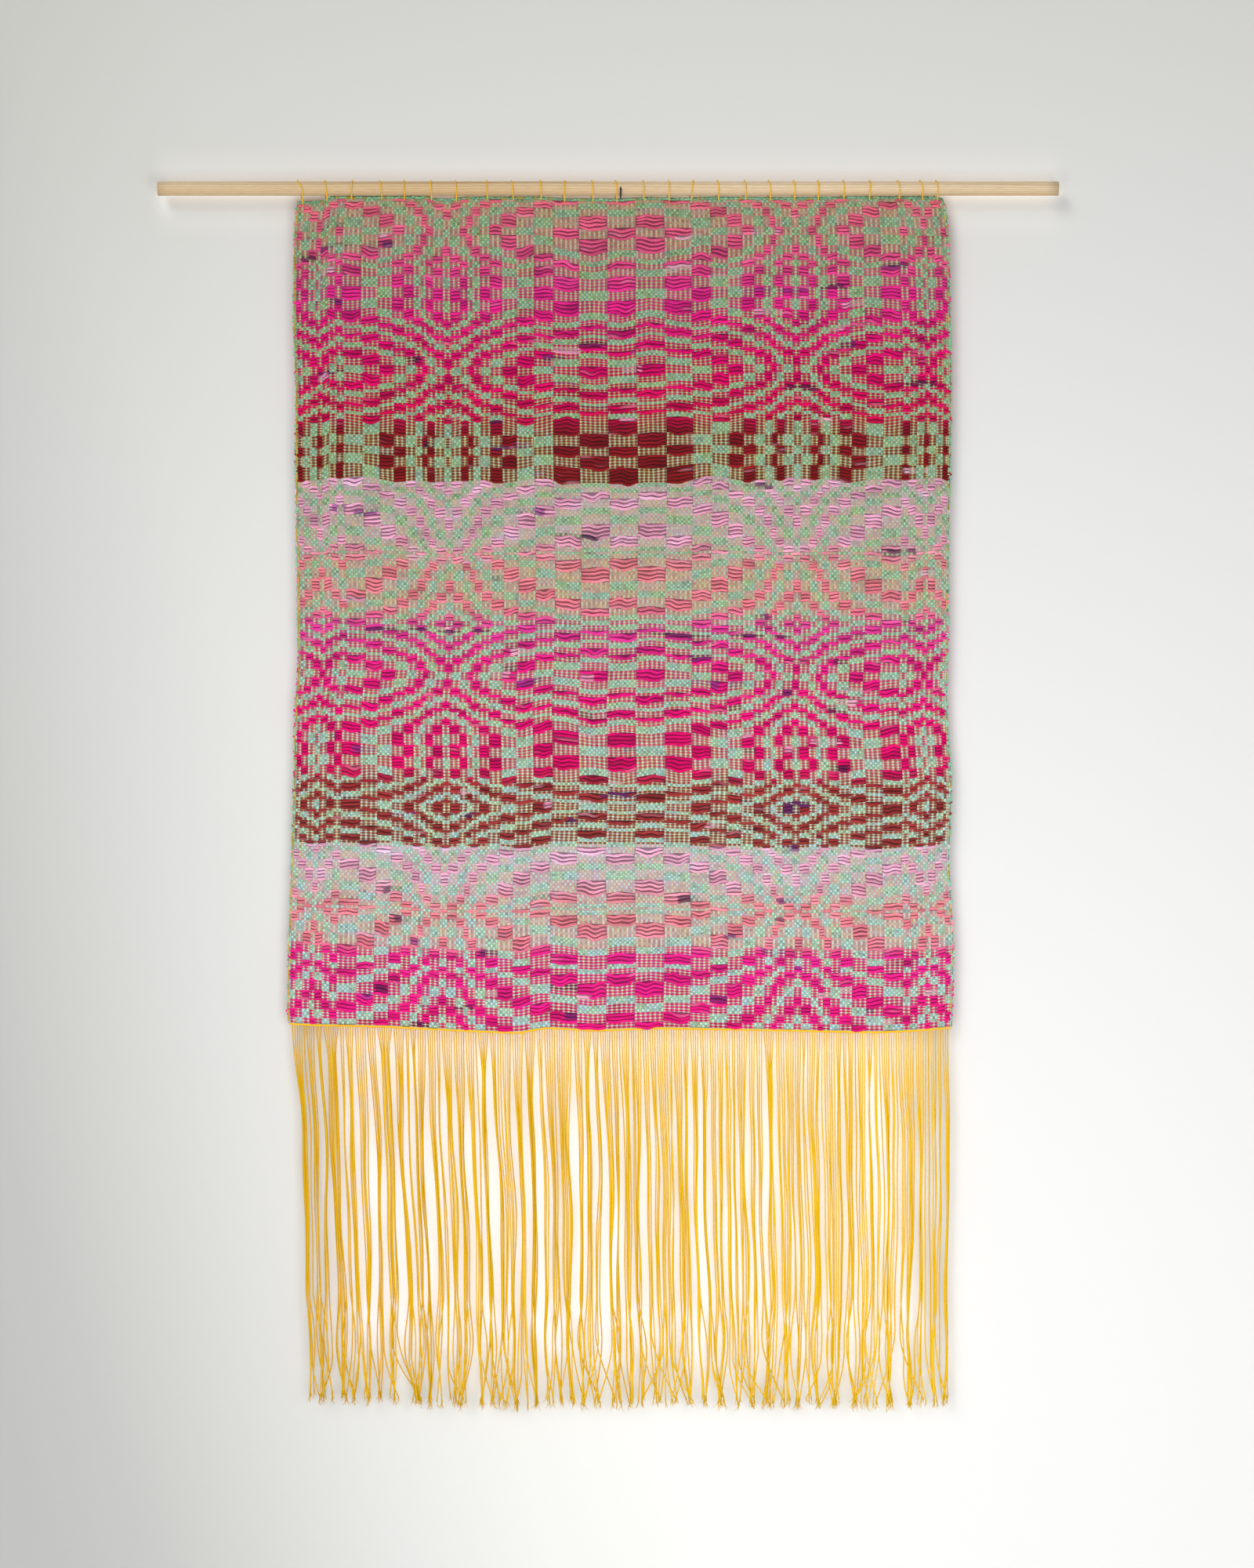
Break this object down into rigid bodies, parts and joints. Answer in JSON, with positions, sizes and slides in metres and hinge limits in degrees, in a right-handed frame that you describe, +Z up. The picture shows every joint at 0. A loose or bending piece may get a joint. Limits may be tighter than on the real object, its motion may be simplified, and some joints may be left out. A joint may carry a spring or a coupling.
{
  "type": "woven wall hanging on a wood rod",
  "caption": "Hand-woven overshot wall hanging with a long fringe, tied by thread loops to a round wood rod that rests on a bent wall hook.",
  "frame": {"origin": "middle of the hook's flat end, where it meets the wall", "axes": "+Y into the wall, +Z up along the hang of the cloth, +X along the rod to the viewer's right"},
  "size_m": [0.9144, 0.0253, 1.244],
  "materials": {
    "rod": "bare pale dowel wood, sanded",
    "hook": "dark oxidised wire",
    "cloth": "overshot weave, mint ground with pink to maroon pattern yarn",
    "fringe": "plied golden cotton ends",
    "loops": "plied golden cotton thread"
  },
  "bodies": {
    "root": {"rod": "rod", "hook": "hook", "cloth": "cloth", "fringe": "fringe", "loop_01": "loops", "loop_02": "loops", "loop_03": "loops", "loop_04": "loops", "loop_05": "loops", "loop_06": "loops", "loop_07": "loops", "loop_08": "loops", "loop_09": "loops", "loop_10": "loops", "loop_11": "loops", "loop_12": "loops", "loop_13": "loops", "loop_14": "loops", "loop_15": "loops", "loop_16": "loops", "loop_17": "loops", "loop_18": "loops", "loop_19": "loops", "loop_20": "loops", "loop_21": "loops", "loop_22": "loops", "loop_23": "loops", "loop_24": "loops", "loop_25": "loops", "loop_26": "loops"}
  },
  "joints": []
}
